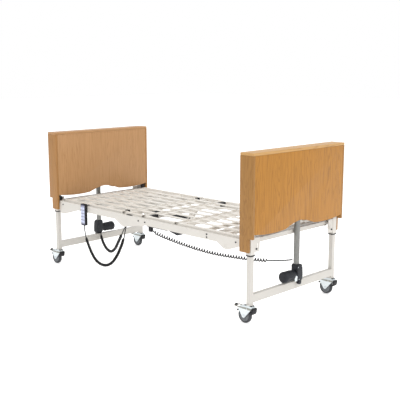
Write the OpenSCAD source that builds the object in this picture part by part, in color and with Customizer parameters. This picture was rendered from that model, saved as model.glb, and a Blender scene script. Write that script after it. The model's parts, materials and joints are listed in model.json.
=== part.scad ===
// Adjustable homecare hospital bed: two sliding end frames on castors, a split steel
// chassis, a four-section mattress platform, oak end boards and four electric drives.
// Lengths are in millimetres. +X runs to the foot end and +Z is up.

/* [End frames] */
// Distance between the leg centres along the bed
leg_span = 2034; // [1990:1:2080]
// Distance between the leg centres across the bed
leg_track = 860; // [856:1:864]
// Side of the square leg tube
leg_tube = 30; // [28:0.5:30]
// Height of the top of the leg tube above the floor
leg_top = 860; // [800:5:900]
// Height of the lower cross bar
bar_height = 50; // [40:1:55]

/* [End boards] */
// Width of an end board
board_width = 940; // [936:1:950]
// Height of the top of an end board above the floor
board_top = 1067; // [1030:1:1120]
// Thickness of the laminated board
board_thick = 18; // [16:0.5:19]
// Rise of the arch in the middle of the lower edge
arch_rise = 37; // [10:1:45]

/* [Mattress platform] */
// Top of the mattress platform above the floor
platform_top = 540; // [540:1:542]
// Place of the backrest hinge along the bed, from the middle
backrest_hinge_x = -200; // [-205:1:-195]
// Place of the thigh hinge along the bed, from the middle
thigh_hinge_x = 15; // [12:1:18]
// Place of the knee hinge along the bed, from the middle
knee_hinge_x = 350; // [340:1:355]
// Number of lengthwise slats in each section
slat_count = 7; // [6:1:10]

/* [Castors] */
// Diameter of a castor wheel
wheel_dia = 100; // [96:1:100]
// Width of a castor tyre
wheel_width = 26; // [20:1:28]
// Distance that a wheel trails behind its swivel axis
castor_trail = 36; // [34:1:38]

/* [Handset] */
// Length of the handset
handset_length = 165; // [160:1:170]
// Width of the handset
handset_width = 54; // [52:1:58]
// How far a key stands out of the handset
key_proud = 1.5; // [1:0.1:2]

/* [Cords] */
// Outer diameter of the curled stretch of a cord
curl_dia = 22; // [14:1:22]
// Diameter of the wire itself
wire_dia = 6; // [4:0.5:6]

/* [Hidden] */
$fn = 48;
steel = [0.90, 0.88, 0.84];
oak = [0.78, 0.59, 0.36];
black = [0.13, 0.14, 0.15];
zinc = [0.80, 0.84, 0.85];
silver = [0.66, 0.67, 0.67];
navy = [0.20, 0.21, 0.33];

brake_reach = 121;
end_depth = 106;
board_out = leg_span / 2 + 50;
board_in = board_out - end_depth;
// The whole bed is moved so that the origin is the middle of its footprint.
shift_x = (leg_span / 2 + brake_reach - board_out) / 2;
leg_x = leg_span / 2;
leg_y = leg_track / 2;
half_width = board_width / 2;
wall = 2;

rail_y = 437.5;
rail_w = 25;
rail_z0 = 482;
rail_z1 = 528;
rail_end = 955;
seam_x = 54;
cross_z = 496;
cross_size = 30;
gusset_thick = 5;

section_h = 25;
section_z0 = platform_top - section_h;
section_y = 407.5;
slat_thick = 5;
hinge_z = platform_top - section_h / 2;
hinge_gap = 18;
pin_r = 5;
pin_play = 0.05;
ear_r = 12.5;
inner_face = section_y - section_h / 2;

lever_reach = 85;
backrest_swing = 70;
thigh_swing = 30;
drive_z = hinge_z - lever_reach;
drive_y = 70;
backrest_drive_y = -200;
backrest_drive_x = 280;
knee_drive_x = -475;
drive_pin_r = 6;
slot_r = 10;

leg_z0 = 128;
bar_z0 = 138;
sleeve_size = 38;
sleeve_wall = 2.5;
sleeve_z0 = 440;
sleeve_z1 = 1000;
bush_hole = leg_tube + 0.6;
bush_size = sleeve_size - 2 * sleeve_wall - 0.2;
flange_size = 39.5;
flange_h = 8;
carriage_x = 981;
carriage_z = 519.5;
knob_z = 548;
knob_r = 16;

column_x = 1028;
column_y = 17;
column_z0 = 303;
column_z1 = 800;
column_r = 19;
rod_r = 14;
rod_z0 = 490;
rod_z1 = 955;
motor_x = 1029;
motor_z = 234;
motor_r = 37;
motor_end = 128;

wheel_r = wheel_dia / 2;
hub_r = 37;
cheek_in = 16;
cheek_out = 19;
king_r = 6;
swivel_top = 121.5;
brake_pivot = [-6, 100];

handset_x = -625;
handset_z0 = 383;
handset_back = -451;
handset_depth = 24;
shell_split = handset_back - 12;
key_size = [20, 4, 17];
key_pitch = [23, 25];
key_base = 31;
key_rows = 5;
key_play = 0.3;

box_x = [60, 255];
box_y = [-418, -335];
box_z = [468, 502];
thin = wire_dia / 2;
fat = curl_dia / 2;

// Cord routes, each point with the radius of the cord there.
handset_route = [
    [-626, -463, 382, thin], [-624, -463, 355, thin], [-620, -461, 325, thin],
    [-614, -459, 292, thin], [-608, -458, 274, fat], [-592, -456, 240, fat],
    [-572, -454, 204, fat], [-548, -452, 168, fat], [-516, -450, 134, fat],
    [-476, -448, 113, fat], [-435, -446, 105, fat], [-395, -444, 108, fat],
    [-356, -442, 122, fat], [-318, -441, 147, fat], [-286, -440, 180, fat],
    [-256, -438, 220, fat], [-232, -436, 262, fat], [-212, -434, 300, fat],
    [-200, -432, 332, fat], [-192, -430, 350, thin], [-184, -427, 390, thin],
    [-178, -422, 428, thin], [-166, -414, 452, thin], [-140, -407, 464, thin],
    [-90, -403, 468, thin], [-30, -401, 470, thin], [37, -400, 470, thin]];
head_route = [
    [-999.8, -22, 204, thin], [-994, -25, 186, thin], [-980, -33, 164, fat],
    [-940, -52, 140, fat], [-900, -72, 127, fat], [-850, -96, 116, fat],
    [-790, -125, 110, fat], [-725, -156, 112, fat], [-660, -187, 122, fat],
    [-600, -216, 142, fat], [-550, -240, 166, fat], [-505, -261, 192, fat],
    [-455, -286, 228, fat], [-410, -308, 264, fat], [-368, -328, 298, fat],
    [-330, -346, 328, fat], [-312, -354, 342, thin], [-270, -374, 378, thin],
    [-225, -392, 418, thin], [-195, -398, 444, thin], [-165, -390, 458, thin],
    [-120, -382, 466, thin], [-50, -376, 470, thin], [37, -375, 470, thin]];
foot_route = [
    [94, -408, 444, thin], [108, -407, 440, thin], [124, -403, 433, fat],
    [151, -395, 423, fat], [187, -381, 410, fat], [224, -364, 398, fat],
    [297, -330, 375, fat], [370, -297, 355, fat], [441, -265, 339, fat],
    [512, -232, 326, fat], [582, -200, 318, fat], [651, -168, 313, fat],
    [725, -135, 309, fat], [800, -101, 308, fat], [845, -80, 309, fat],
    [862, -72, 310, thin], [905, -52, 313, thin], [950, -32, 318, thin],
    [985, -15, 324, thin], [1010, -1, 329, thin]];

CASTORS = [["foot_near", 1, -1], ["foot_far", 1, 1], ["head_near", -1, -1], ["head_far", -1, 1]];

// ---- helpers ----

module place() {
    translate([shift_x, 0, 0]) children();
}

module both_sides() {
    for (s = [0, 1]) mirror([0, s, 0]) children();
}

module at_head() {
    rotate([0, 0, 180]) children();
}

// A block between two opposite corners.
module block(low, high) {
    translate(low) cube(high - low);
}

// Corners of a straight tube: direction, start, end, two centre coordinates, two sizes.
function tube_low(b) =
    b[0] == "x" ? [b[1], b[3] - b[5] / 2, b[4] - b[6] / 2]
    : b[0] == "y" ? [b[3] - b[5] / 2, b[1], b[4] - b[6] / 2]
    : [b[3] - b[5] / 2, b[4] - b[6] / 2, b[1]];
function tube_high(b) =
    b[0] == "x" ? [b[2], b[3] + b[5] / 2, b[4] + b[6] / 2]
    : b[0] == "y" ? [b[3] + b[5] / 2, b[2], b[4] + b[6] / 2]
    : [b[3] + b[5] / 2, b[4] + b[6] / 2, b[2]];
function along(b) = b[0] == "x" ? [1, 0, 0] : b[0] == "y" ? [0, 1, 0] : [0, 0, 1];

// Tubes welded together. Open ones are hollow to both ends, closed ones have a square vent.
module welded(open, closed, t = wall) {
    difference() {
        for (b = concat(open, closed)) block(tube_low(b), tube_high(b));
        for (b = open) block(tube_low(b) + [t, t, t] - (t + 1) * along(b),
                             tube_high(b) - [t, t, t] + (t + 1) * along(b));
        for (b = closed) {
            low = tube_low(b) + [t, t, t] - t * along(b);
            high = tube_high(b) - [t, t, t] + t * along(b);
            middle = (low + high) / 2;
            block(low, high);
            block([middle[0] - 3, middle[1] - 3, low[2] - t - 1], [middle[0] + 3, middle[1] + 3, middle[2]]);
        }
    }
}

// A flat plate drawn in X and Z, standing between two Y faces.
module plate_xz(points, y0, y1) {
    translate([0, y1, 0]) rotate([90, 0, 0]) linear_extrude(y1 - y0) polygon(points);
}

// A round bar along Y.
module bar_y(x, z, r, y0, y1) {
    translate([x, y0, z]) rotate([-90, 0, 0]) cylinder(h = y1 - y0, r = r);
}

// A round bar along X.
module bar_x(y, z, r, x0, x1) {
    translate([x0, y, z]) rotate([0, 90, 0]) cylinder(h = x1 - x0, r = r);
}

// A block whose upright edges are rounded.
module soft_block(low, high, r) {
    size = high - low;
    translate([0, 0, low[2]]) linear_extrude(size[2]) {
        block_2d([low[0] + r, low[1]], [high[0] - r, high[1]]);
        block_2d([low[0], low[1] + r], [high[0], high[1] - r]);
        for (x = [low[0] + r, high[0] - r]) for (y = [low[1] + r, high[1] - r])
            translate([x, y]) circle(r);
    }
}

module block_2d(low, high) {
    translate(low) square(high - low);
}

// ---- chassis ----

module gusset(points) {
    both_sides() plate_xz(points, rail_y + rail_w / 2 - gusset_thick, rail_y + rail_w / 2);
}

function rails(x0, x1) = [for (s = [-1, 1])
    ["x", x0, x1, s * rail_y, (rail_z0 + rail_z1) / 2, rail_w, rail_z1 - rail_z0]];
function crosses(xs) = [for (x = xs)
    ["y", -rail_y + rail_w / 2, rail_y - rail_w / 2, x, cross_z, cross_size, cross_size]];

module head_chassis() {
    rail_mid = (rail_z0 + rail_z1) / 2;
    spigot_h = rail_z1 - rail_z0 - 2 * wall;
    spigot_w = rail_w - 2 * wall;
    play = 0.6;
    color(steel) place() {
        welded(rails(-rail_end, seam_x), crosses([-930, -690, -475, -100]));
        gusset([[-rail_end, rail_z0], [-rail_end, 432], [-900, 432], [-720, rail_z0]]);
        gusset([[-268, rail_z0], [-178, 437], [seam_x, 477], [seam_x, rail_z0]]);
        both_sides() {
            block([seam_x - 110, rail_y - spigot_w / 2, rail_mid - spigot_h / 2],
                  [seam_x - 10, rail_y + spigot_w / 2, rail_mid + spigot_h / 2]);
            block([seam_x - 10, rail_y - (spigot_w - play) / 2, rail_mid - (spigot_h - play) / 2],
                  [seam_x + 100, rail_y + (spigot_w - play) / 2, rail_mid + (spigot_h - play) / 2]);
        }
        drive_bracket(knee_drive_x, drive_y);
    }
}

module foot_chassis() {
    hanger_x = 831;
    hanger_z = 466;
    hanger_r = 14;
    plate_in = rail_y + rail_w / 2 - gusset_thick;
    color(steel) place() {
        welded(rails(seam_x + 0.5, rail_end), crosses([backrest_drive_x, 640, 930]));
        difference() {
            union() {
                gusset([[752, rail_z0], [812, 447], [850, 447], [945, rail_z0]]);
                bar_y(hanger_x, hanger_z, hanger_r, -plate_in - 1, plate_in + 1);
            }
            bar_y(hanger_x, hanger_z, hanger_r - wall, -rail_y - rail_w, rail_y + rail_w);
        }
        drive_bracket(backrest_drive_x, backrest_drive_y);
    }
}

// Two ears under a cross tube that hold the back end of a drive.
module drive_bracket(x, y) {
    ear = 5;
    gap = 12.1;
    for (s = [-1, 1]) difference() {
        plate_xz([[x - 14, cross_z - cross_size / 2], [x - 14, drive_z - 14], [x + 14, drive_z - 14],
                  [x + 14, cross_z - cross_size / 2]],
                 y + s * (gap + ear / 2) - ear / 2, y + s * (gap + ear / 2) + ear / 2);
        bar_y(x, drive_z, pin_r + pin_play, y - 30, y + 30);
    }
}

module carriage() {
    reach = 76;
    cross_x1 = 1006;
    difference() {
        welded([for (s = [-1, 1]) ["z", sleeve_z0, sleeve_z1, leg_x, s * leg_y, sleeve_size, sleeve_size]],
               [["y", -leg_y + sleeve_size / 2, leg_y - sleeve_size / 2, carriage_x, carriage_z, 50, 23],
                ["y", -leg_y + sleeve_size / 2, leg_y - sleeve_size / 2, leg_x, 972.5, 36, 25]],
               sleeve_wall);
        both_sides() bar_x(leg_y, knob_z, 4.05, leg_x - sleeve_size / 2 - 1, leg_x);
    }
    both_sides() block([rail_end - reach, 421, 511.5], [cross_x1 - 50, 425, 524]);
    both_sides() block([cross_x1 - 50, 411, 508], [cross_x1 - 8, 425, 531]);
    both_sides() difference() {
        plate_x = leg_x + sleeve_size / 2 - 7;
        plate_y = leg_y - sleeve_size / 2;
        block([plate_x, plate_y - 50, 455], [plate_x + 4, plate_y + 0.5, 545]);
        block([plate_x - 1, plate_y - 38, 478], [plate_x + 5, plate_y - 30, 510]);
        bar_x(plate_y - 17, 474, 4.5, plate_x - 1, plate_x + 5);
    }
}

module bushes() {
    for (z = [sleeve_z0, 590]) both_sides() translate([leg_x, leg_y, z]) difference() {
        translate([-bush_size / 2, -bush_size / 2, 0]) cube([bush_size, bush_size, 40]);
        translate([-bush_hole / 2, -bush_hole / 2, -1]) cube([bush_hole, bush_hole, 42]);
    }
    both_sides() translate([leg_x, leg_y, sleeve_z0 - flange_h]) difference() {
        translate([-flange_size / 2, -flange_size / 2, 0]) cube([flange_size, flange_size, flange_h]);
        translate([-bush_hole / 2, -bush_hole / 2, -1]) cube([bush_hole, bush_hole, flange_h + 2]);
    }
}

// ---- end boards ----

// Height of the board's lower edge at a distance from its middle.
function board_edge(y) =
    abs(y) < 150 ? 565 + arch_rise * (1 - pow(abs(y) / 150, 1.6))
    : 559 + 15 * pow((abs(y) - 265) / 187, 2);

module board_panels() {
    inside = half_width - board_thick;
    step = 16;
    top = board_top - board_thick;
    edge = [for (i = [0:1:ceil(2 * inside / step)])
        let (y = min(-inside + i * step, inside)) [y, board_edge(y)]];
    for (x = [board_in, board_out - board_thick])
        translate([x, 0, 0]) rotate([90, 0, 90]) linear_extrude(board_thick)
            polygon(concat([[inside, top], [-inside, top]], edge));
}

module board_trim() {
    gap = 0.2;
    top = board_top - board_thick;
    step_x = board_in + 73;
    block([board_in, -half_width, top], [board_out, half_width, board_top]);
    both_sides() plate_xz([[board_in, top - gap], [board_in, 459], [step_x, 459], [step_x, 546],
                           [board_out, 546], [board_out, top - gap]],
                          half_width - board_thick, half_width);
}

module knob(end, side) {
    stem_end = leg_x - sleeve_size / 2 + 1.5;
    face = leg_x - sleeve_size / 2 - 14;
    color(black) place() scale([end, side, 1]) {
        difference() {
            bar_x(leg_y, knob_z, knob_r, face - 14, face);
            for (a = [0:45:315]) translate([0, leg_y, knob_z]) rotate([a, 0, 0])
                bar_x(0, knob_r + 2, 3.6, face - 20, face + 1);
        }
        bar_x(leg_y, knob_z, 9, face, face + 8);
        bar_x(leg_y, knob_z, 4, face, stem_end);
    }
}

// ---- platform sections ----

function sides(x0, x1) = [for (s = [-1, 1]) ["x", x0, x1, s * section_y, hinge_z, section_h, section_h]];
function spars(xs) = [for (x = xs)
    ["y", -inner_face, inner_face, x, section_z0 + (section_h - slat_thick) / 2, section_h,
     section_h - slat_thick]];

// A rectangular frame with spars and lengthwise slats.
module section(x0, x1, xs) {
    slat_w = 34;
    pitch = 2 * inner_face / (slat_count + 1);
    welded(sides(x0, x1), spars(xs));
    for (i = [1:slat_count])
        block([xs[0] - section_h / 2 + 3, -inner_face + i * pitch - slat_w / 2, platform_top - slat_thick],
              [xs[len(xs) - 1] + section_h / 2 - 3, -inner_face + i * pitch + slat_w / 2, platform_top]);
}

// The outer ear of a hinge, flush with the side tube; it reaches from the tube to the axis.
module outer_ear(x, toward, pinned = false) {
    both_sides() difference() {
        union() {
            bar_y(x, hinge_z, ear_r, inner_face - 6, inner_face - 0.3);
            block([min(x, x + toward * 50), inner_face - 6, hinge_z - ear_r],
                  [max(x, x + toward * 50), inner_face - 0.3, hinge_z + ear_r]);
            block([min(x + toward * 20, x + toward * 50), inner_face - 6, hinge_z - ear_r],
                  [max(x + toward * 20, x + toward * 50), inner_face, hinge_z + ear_r]);
        }
        if (!pinned) bar_y(x, hinge_z, pin_r + pin_play, 0, inner_face + 1);
    }
    if (pinned) both_sides() {
        bar_y(x, hinge_z, pin_r, inner_face - 16, inner_face - 6);
    }
}

// The inner ear, beside the outer one, joined to its own side tube by a packing block.
module inner_ear(x, toward) {
    near = inner_face - 13;
    both_sides() difference() {
        union() {
            bar_y(x, hinge_z, ear_r, near, near + 6);
            block([min(x, x + toward * 50), near, hinge_z - ear_r],
                  [max(x, x + toward * 50), near + 6, hinge_z + ear_r]);
            block([min(x + toward * 22, x + toward * 50), near, hinge_z - ear_r],
                  [max(x + toward * 22, x + toward * 50), inner_face, hinge_z + ear_r]);
        }
        bar_y(x, hinge_z, pin_r + pin_play, 0, inner_face + 1);
    }
}

module hinge_pins() {
    color(zinc) place() for (x = [backrest_hinge_x, thigh_hinge_x]) both_sides() {
        bar_y(x, hinge_z, pin_r, inner_face - 14, inner_face - 0.5);
        bar_y(x, hinge_z, 8, inner_face - 17, inner_face - 13.5);
    }
}

// A pair of levers with radial slots that a drive's pin pushes. Angle is from straight down to +X.
module slotted_lever(x, y, angle, root) {
    thick = 6;
    gap = 13.6;
    far = lever_reach / cos(angle) + 8;
    for (s = [-1, 1]) difference() {
        translate([0, y + s * (gap + thick / 2) + thick / 2, 0]) rotate([90, 0, 0]) linear_extrude(thick)
            difference() {
                polygon([root, [root[0] + 20, root[1]],
                         [x + sin(angle) * (lever_reach - 25) + 20 * cos(angle),
                          hinge_z - cos(angle) * (lever_reach - 25) + 20 * sin(angle)],
                         [x + sin(angle) * (far + 18) + 18 * cos(angle),
                          hinge_z - cos(angle) * (far + 18) + 18 * sin(angle)],
                         [x + sin(angle) * (far + 18) - 18 * cos(angle),
                          hinge_z - cos(angle) * (far + 18) - 18 * sin(angle)],
                         [x + sin(angle) * (lever_reach - 25) - 20 * cos(angle),
                          hinge_z - cos(angle) * (lever_reach - 25) - 20 * sin(angle)]]);
                translate([x, hinge_z]) rotate(angle) translate([0, -far]) {
                    circle(slot_r);
                    translate([0, far - lever_reach + 8]) circle(slot_r);
                    translate([-slot_r, 0]) square([2 * slot_r, far - lever_reach + 8]);
                }
            }
    }
}

module seat_section() {
    x0 = backrest_hinge_x + hinge_gap;
    x1 = thigh_hinge_x - hinge_gap;
    color(steel) place() {
        section(x0, x1, [x0 + section_h / 2, x1 - section_h / 2]);
        outer_ear(backrest_hinge_x, 1);
        outer_ear(thigh_hinge_x, -1);
        both_sides() block([-130, 420, section_z0], [-60, 425, rail_z1]);
        both_sides() block([-112, section_y - 10, cross_z + cross_size / 2],
                           [-88, section_y + 10, section_z0]);
    }
}

module backrest_section() {
    x1 = backrest_hinge_x - hinge_gap;
    last = x1 - section_h / 2;
    color(steel) place() {
        section(-935, x1, [-922.5, -690, -460, last]);
        inner_ear(backrest_hinge_x, -1);
        slotted_lever(backrest_hinge_x, backrest_drive_y, backrest_swing / 2, [last - 10, section_z0]);
    }
}

module thigh_section() {
    x0 = thigh_hinge_x + hinge_gap;
    x1 = knee_hinge_x - hinge_gap;
    first = x0 + section_h / 2;
    color(steel) place() {
        section(x0, x1, [first, x1 - section_h / 2]);
        inner_ear(thigh_hinge_x, 1);
        outer_ear(knee_hinge_x, -1, true);
        slotted_lever(thigh_hinge_x, drive_y, -thigh_swing / 2, [first - 10, section_z0]);
    }
}

module calf_section() {
    x0 = knee_hinge_x + hinge_gap;
    color(steel) place() {
        section(x0, 945, [x0 + section_h / 2, 600, 780, 932.5]);
        inner_ear(knee_hinge_x, 1);
    }
}

// ---- drives under the platform ----

// A linear drive along X: a housing of a given length, a guide tube and an eye at the back.
// toward is the way it pushes.
module drive(back_x, y, tube_end, toward, length) {
    housing_x = back_x + toward * 22;
    housing_far = housing_x + toward * length;
    bore_end = housing_far - toward * 45;
    outer = 17;
    bore = 13.05;
    difference() {
        union() {
            soft_block([min(housing_x, housing_far), y - 27, drive_z - 24],
                       [max(housing_x, housing_far), y + 27, drive_z + 24], 8);
            bar_x(y, drive_z, outer, min(housing_far, tube_end), max(housing_far, tube_end));
            block([min(back_x - toward * 9, housing_x), y - 11, drive_z - 10],
                  [max(back_x - toward * 9, housing_x), y + 11, drive_z + 10]);
        }
        bar_x(y, drive_z, bore, min(bore_end, tube_end + toward), max(bore_end, tube_end + toward));
        bar_y(back_x, drive_z, pin_r + pin_play, y - 20, y + 20);
    }
    bar_y(back_x, drive_z, pin_r, y - 19, y + 19);
}

module bar_z(x, y, r, z0, z1) {
    translate([x, y, z0]) cylinder(h = z1 - z0, r = r);
}

module drive_rod(pin_x, y, inner_x) {
    color(silver) place() {
        bar_x(y, drive_z, 13, min(pin_x, inner_x), max(pin_x, inner_x));
        intersection() {
            bar_y(pin_x, drive_z, 15, y - 10, y + 10);
            block([pin_x - 20, y - 10, drive_z - 20], [pin_x + 20, y + 10, drive_z + 20]);
        }
        bar_y(pin_x, drive_z, drive_pin_r, y - 21, y + 21);
    }
}

backrest_pin_x = backrest_hinge_x + lever_reach * tan(backrest_swing / 2);
thigh_pin_x = thigh_hinge_x - lever_reach * tan(thigh_swing / 2);

module backrest_drive() {
    y = backrest_drive_y;
    color(black) place() {
        drive(backrest_drive_x, y, -95, -1, 187);
        plate_xz([[71, 420], [71, 405], [150, 388], [163, 391], [170, 404], [257, 416], [257, 420]],
                 y - 25, y + 25);
    }
}

module backrest_rod() {
    drive_rod(backrest_pin_x, backrest_drive_y, 100);
}

module knee_drive() {
    color(black) place() {
        drive(knee_drive_x, drive_y, -50, 1, 90);
        bar_z(knee_drive_x + 67, drive_y, 25, drive_z - 82, drive_z - 20);
    }
}

module knee_rod() {
    drive_rod(thigh_pin_x, drive_y, -250);
}

module control_box() {
    color(black) place() {
        soft_block([box_x[0], box_y[0], box_z[0]], [box_x[1], box_y[1], box_z[1]], 8);
        for (x = [box_x[0] + 20, box_x[1] - 50]) block([x, -425, 486], [x + 30, box_y[0], 498]);
        block([box_x[1], -392, 468], [box_x[1] + 9, -362, 490]);
    }
}

// ---- lift drives at the ends ----

module lift_motor() {
    x = [1003, 1058];
    y = [-6, 54];
    color(black) {
        soft_block([x[0], y[0], 189], [x[1], y[1], column_z0], 12);
        soft_block([1034, 6, 166], [x[1], 44, 189], 6);
        bar_y(motor_x, motor_z, motor_r, -motor_end + 22, y[0] + 8);
        bar_y(motor_x, motor_z, motor_r + 1, -motor_end, -motor_end + 22);
    }
}

module lift_column() {
    cap = 22;
    translate([column_x, column_y, column_z0]) difference() {
        cylinder(h = column_z1 - column_z0, r = column_r);
        translate([0, 0, 4]) cylinder(h = column_z1 - column_z0 - cap - 4, r = rod_r + 1);
        translate([0, 0, 5]) cylinder(h = column_z1 - column_z0, r = rod_r + pin_play);
    }
}

module lift_rod() {
    translate([column_x, column_y, rod_z0]) cylinder(h = rod_z1 - rod_z0, r = rod_r);
    translate([column_x, column_y, rod_z1]) cylinder(h = 5, r = rod_r + 4);
}

module leg_frame() {
    bar_mid = bar_z0 + bar_height / 2;
    inner = leg_tube - 2 * wall;
    welded([for (s = [-1, 1]) ["z", leg_z0, leg_top, leg_x, s * leg_y, leg_tube, leg_tube]],
           [["y", -leg_y + leg_tube / 2, leg_y - leg_tube / 2, leg_x, bar_mid, leg_tube, bar_height]]);
    both_sides() {
        block([leg_x - inner / 2, leg_y - inner / 2, leg_z0],
              [leg_x + inner / 2, leg_y + inner / 2, leg_z0 + 24]);
        translate([leg_x, leg_y, swivel_top + 0.5]) cylinder(h = leg_z0 - swivel_top - 0.5, r = 21);
        translate([leg_x, leg_y, 98]) cylinder(h = leg_z0 - 98, r = king_r);
        translate([leg_x, leg_y, 97]) cylinder(h = 4, r = 10);
    }
    block([leg_x + leg_tube / 2, 6, 150], [leg_x + leg_tube / 2 + 2, 44, 188]);
    block([leg_x - 14, -5, bar_z0 + bar_height], [1033, 53, bar_z0 + bar_height + 1]);
}

// ---- castors ----

module at_castor(c) {
    place() translate([c[1] * leg_x, c[2] * leg_y, 0]) children();
}

module fork(c) {
    outline = [[26, 119], [32, 104], [-24, 38], [-31, 35.5], [-41, 35.5], [-49, 39], [-62, 62], [-92, 66],
               [-98, 76], [-86, 100], [-60, 113], [-26, 119]];
    skin = 3.5;
    color(zinc) at_castor(c) {
        difference() {
            union() {
                difference() {
                    plate_xz(outline, -cheek_out, cheek_out);
                    translate([0, 0, -skin]) plate_xz(outline, -cheek_in, cheek_in);
                    plate_xz([[-10, 90], [-30, 30], [-120, 20], [-120, 98], [-92, 98], [-80, 90]],
                             -cheek_in, cheek_in);
                }
                translate([0, 0, 102]) cylinder(h = swivel_top - 102, r = 18.9);
                for (s = [-1, 1]) bar_y(brake_pivot[0], brake_pivot[1], 4, s * 21 - 3, s * 21 + 3);
            }
            translate([0, 0, 90]) cylinder(h = 40, r = king_r + pin_play);
            bar_y(-castor_trail, wheel_r, pin_r + 0.03, -30, 30);
            difference() {
                bar_y(-castor_trail, wheel_r, wheel_r + 2.2, -cheek_in, cheek_in);
                translate([0, 0, 102]) cylinder(h = 30, r = 60);
            }
        }
        bar_y(-castor_trail, wheel_r, pin_r, -21, 21);
        for (s = [-1, 1]) bar_y(-castor_trail, wheel_r, 8, s * 20.6 - 1.5, s * 20.6 + 1.5);
    }
}

module wheel(c) {
    half = wheel_width / 2;
    color(black) at_castor(c) translate([-castor_trail, 0, wheel_r]) rotate([90, 0, 0]) {
        rotate_extrude() polygon([
            [hub_r + 0.05, -half + 1], [wheel_r - 5, -half], [wheel_r - 1.5, -half + 3.5],
            [wheel_r, -half + 8],
            [wheel_r, half - 8], [wheel_r - 1.5, half - 3.5], [wheel_r - 5, half], [hub_r + 0.05, half - 1]]);
        rotate_extrude() polygon([
            [pin_r + pin_play, -half - 1.5], [11, -half - 1.5], [13, -half + 4], [hub_r - 5, -half + 4],
            [hub_r - 3, -half + 1], [hub_r, -half + 1], [hub_r, half - 1], [hub_r - 3, half - 1],
            [hub_r - 5, half - 4], [13, half - 4], [11, half + 1.5], [pin_r + pin_play, half + 1.5]]);
    }
}

module brake(c) {
    arm_in = cheek_out + 0.6;
    arm_out = arm_in + 3;
    p = brake_pivot;
    color(black) at_castor(c) {
        both_sides() difference() {
            plate_xz([[36, 108], [30, 84], [22, 91], [-8, 94], [-108, 97], [-108, 104], [-8, 107]],
                     arm_in, arm_out);
            bar_y(p[0], p[1], 4.05, arm_in - 1, arm_out + 1);
        }
        plate_xz([[36, 108], [43, 100], [36, 70], [24, 66], [20, 72], [30, 84]], -arm_out, arm_out);
        bar_y(-brake_reach + 9, 101, 9, -arm_out, arm_out);
    }
}

// ---- handset ----

module key_place(i) {
    column = i % 2;
    row = floor(i / 2);
    translate([handset_x + (column - 0.5) * key_pitch[0], 0,
               handset_z0 + key_base + (key_rows - 1 - row) * key_pitch[1]]) children();
}

module handset_front() {
    front = handset_back - handset_depth;
    low = [handset_x - handset_width / 2, front, handset_z0];
    high = [handset_x + handset_width / 2, shell_split - 0.2, handset_z0 + handset_length];
    color(navy) place() difference() {
        block(low, high);
        block([low[0] + 3, front + 8, low[2] + 3], [high[0] - 3, high[1] + 1, high[2] - 3]);
        for (i = [0:2 * key_rows - 1]) key_place(i)
            block([-key_size[0] / 2 - key_play, front - 1, -key_size[2] / 2 - key_play],
                  [key_size[0] / 2 + key_play, front + 4.8, key_size[2] / 2 + key_play]);
    }
}

module handset_back() {
    low = [handset_x - handset_width / 2, shell_split, handset_z0];
    high = [handset_x + handset_width / 2, handset_back, handset_z0 + handset_length];
    hook = 3;
    color(navy) place() {
        difference() {
            block(low, high);
            block([low[0] + 3, low[1] - 1, low[2] + 3], [high[0] - 3, high[1] - 3, high[2] - 3]);
            translate([handset_x - 1, -463, handset_z0 - 1]) cylinder(h = 5, r = 2);
        }
        block([handset_x - 15, handset_back, rail_z1 + 0.5], [handset_x + 15, -422, rail_z1 + 0.5 + hook]);
        block([handset_x - 15, -424.5, rail_z1 - 14], [handset_x + 15, -422, rail_z1 + 1]);
    }
}

module key(i) {
    front = handset_back - handset_depth;
    color(silver) place() key_place(i)
        block([-key_size[0] / 2, front - key_proud, -key_size[2] / 2],
              [key_size[0] / 2, front - key_proud + key_size[1], key_size[2] / 2]);
}

// ---- cords ----

function unit(v) = v / norm(v);
function point(r, i) = [r[i][0], r[i][1], r[i][2]];
function tangent(r, i) = unit(point(r, min(i + 1, len(r) - 1)) - point(r, max(i - 1, 0)));
function across(r) =
    let (d = point(r, len(r) - 1) - point(r, 0)) unit([-d[1], d[0], 0]);
function ring(r, i, sides) =
    let (t = tangent(r, i), n = across(r), a = unit(n - (n * t) * t), b = cross(t, a))
    [for (k = [0:sides - 1]) point(r, i) + r[i][3] * (cos(360 * k / sides) * a + sin(360 * k / sides) * b)];

// A tube swept along a route whose points each have their own radius.
module cord(r, sides = 8) {
    rings = len(r);
    points = [for (i = [0:rings - 1]) each ring(r, i, sides)];
    walls = [for (i = [0:rings - 2]) for (k = [0:sides - 1])
        let (m = (k + 1) % sides)
        [i * sides + k, i * sides + m, (i + 1) * sides + m, (i + 1) * sides + k]];
    first = [for (k = [0:sides - 1]) sides - 1 - k];
    last = [for (k = [0:sides - 1]) (rings - 1) * sides + k];
    color(black) place() polyhedron(points, concat(walls, [first, last]));
}

module cord_plugs() {
    color(black) place() {
        for (y = [-400, -375]) bar_x(y, 470, 8, 37, box_x[0]);
        soft_block([62, -418, 435], [94, -398, box_z[0]], 4);
    }
}

module rail_fasteners() {
    face = rail_y + rail_w / 2;
    color(black) place() both_sides() {
        for (z = [497, 516]) bar_y(665, z, 5, face, face + 3);
        bar_y(seam_x + 10, 505, 5, face, face + 3);
        bar_y(seam_x - 60, 505, 5, face, face + 3);
        for (x = [-rail_end + 40, rail_end - 40]) bar_y(x, 505, 5, face, face + 3);
    }
}

// ---- the bed ----

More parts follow.
